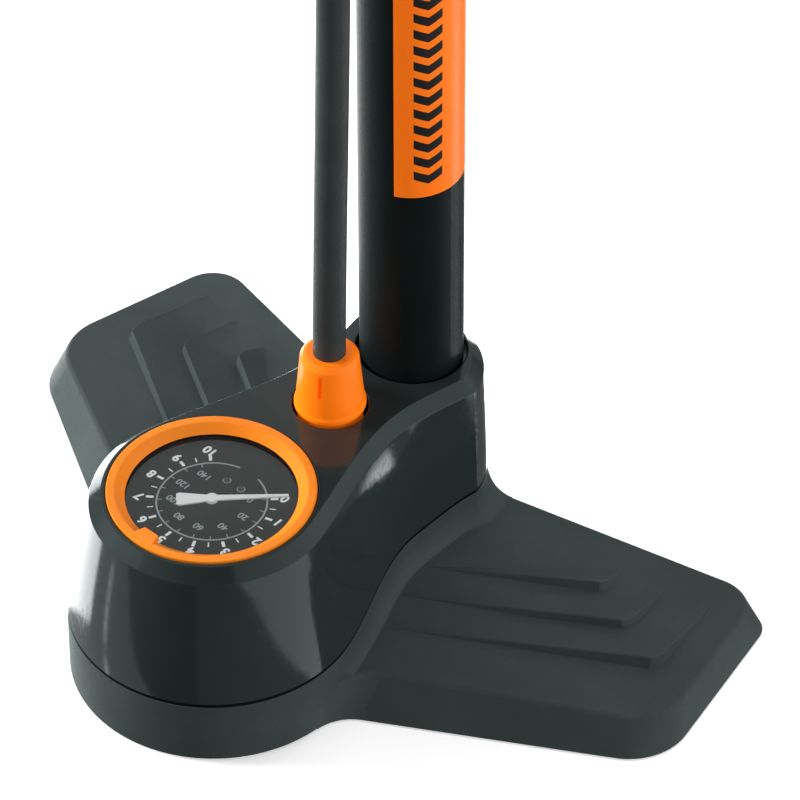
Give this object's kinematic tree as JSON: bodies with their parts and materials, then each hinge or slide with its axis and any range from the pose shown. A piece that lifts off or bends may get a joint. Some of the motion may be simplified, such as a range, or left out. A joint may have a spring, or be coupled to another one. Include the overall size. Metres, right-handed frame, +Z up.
{
  "type": "floor bike pump",
  "caption": "Upright floor pump with a stepped two-wing foot, dial gauge in a waisted housing, steel barrel, hose and T-handle.",
  "frame": {"origin": "point on the floor under the barrel's axis", "axes": "+Z up along the barrel, gauge towards -Y, wings of the foot along +X and -X"},
  "size_m": [0.258, 0.1968, 0.598],
  "materials": {
    "foot_plastic": "fine-grained dark green-grey nylon",
    "housing_plastic": "smooth, satin-gloss near-black shell",
    "orange_plastic": "satin orange",
    "black_paint": "satin black powder coat",
    "label_orange": "satin printed film",
    "black_plastic": "satin black",
    "inner_plastic": "plain black",
    "piston_nylon": "plain grey",
    "natural_nylon": "natural off-white",
    "pad_rubber": "matt",
    "seal_rubber": "matt",
    "grip_rubber": "fine-grained soft grip",
    "hose_rubber": "lightly textured dark grey",
    "zinc_steel": "zinc plated",
    "spring_steel": "bright wire",
    "chrome_rod": "polished",
    "brass": "turned",
    "needle_white": "white paint",
    "dial_dark": "matt printed dial",
    "dial_metal": "dark enamel",
    "lens": "clear acrylic"
  },
  "bodies": {
    "pump": {"foot_base": "foot_plastic", "foot_pads": "pad_rubber", "top_cover": "housing_plastic", "cover_screws": "zinc_steel", "barrel": "black_paint", "barrel_label": "label_orange", "barrel_plug": "inner_plastic", "plug_o_ring": "seal_rubber", "plug_screws": "zinc_steel", "valve_seat": "brass", "valve_spring": "spring_steel", "air_block": "inner_plastic", "hose_barb": "brass", "barb_ferrule": "zinc_steel", "hose_bush": "orange_plastic", "hose": "hose_rubber", "gauge_case": "inner_plastic", "gauge_socket": "brass", "bourdon_tube": "brass", "gauge_movement": "brass", "dial_plate": "dial_dark", "dial_screws": "dial_metal", "gauge_gasket": "seal_rubber", "gauge_lens": "lens", "barrel_cap": "black_plastic", "rod_bush": "natural_nylon", "hose_clip": "black_plastic", "head_clip": "black_plastic", "clip_screws": "zinc_steel", "head_ferrule": "zinc_steel", "head_body": "black_plastic", "head_gasket": "seal_rubber", "head_cap": "orange_plastic", "lever_pin": "zinc_steel"},
    "piston": {"piston": "piston_nylon", "piston_cup": "seal_rubber"},
    "handle": {"piston_rod": "chrome_rod", "piston_washer": "zinc_steel", "piston_nut": "zinc_steel", "stop_buffer": "seal_rubber", "handle_core": "black_plastic", "grip_left": "grip_rubber", "grip_right": "grip_rubber", "grip_end_caps": "orange_plastic", "handle_bolt": "zinc_steel"},
    "sector": {"sector_gear": "brass"},
    "needle": {"gauge_needle": "needle_white"},
    "marker": {"marker_ring": "orange_plastic"},
    "lever": {"head_lever": "orange_plastic"},
    "press": {"head_press": "natural_nylon"},
    "valve": {"valve_disc": "seal_rubber"}
  },
  "joints": [
    {"name": "pump_stroke", "type": "slide", "parent": "pump", "child": "piston", "axis": [0, 0, 1], "range_m": [0, 0.42]},
    {"name": "handle_swivel", "type": "hinge", "parent": "piston", "child": "handle", "pos_m": [0, 0, 0.056], "axis": [0, 0, 1], "continuous": true},
    {"name": "sector_swing", "type": "hinge", "parent": "pump", "child": "sector", "pos_m": [0, -0.07447, 0.052], "axis": [0, 0, 1], "range_deg": [0, 36], "stiffness_Nm_per_rad": 0.002},
    {"name": "needle_turn", "type": "hinge", "parent": "pump", "child": "needle", "pos_m": [0, -0.0885, 0.06], "axis": [0, 0, -1], "range_deg": [0, 270]},
    {"name": "marker_turn", "type": "hinge", "parent": "pump", "child": "marker", "pos_m": [0, -0.0885, 0.068], "axis": [0, 0, 1], "continuous": true},
    {"name": "lever_turn", "type": "hinge", "parent": "pump", "child": "lever", "pos_m": [0, 0.055, 0.3113], "axis": [1, 0, 0], "range_deg": [0, 90]},
    {"name": "press_slide", "type": "slide", "parent": "pump", "child": "press", "axis": [0, 0, -1], "range_m": [0, 0.0012], "deforming": ["head_gasket"]},
    {"name": "valve_lift", "type": "slide", "parent": "pump", "child": "valve", "axis": [0, 0, -1], "range_m": [0, 0.0015], "stiffness_N_per_m": 150, "springref_m": -0.002, "deforming": ["valve_spring"]}
  ],
  "couplings": [
    {"joint": "needle_turn", "follows": "sector_swing", "ratio": 7.5},
    {"joint": "press_slide", "follows": "lever_turn", "m_per_rad": 0.00076}
  ]
}
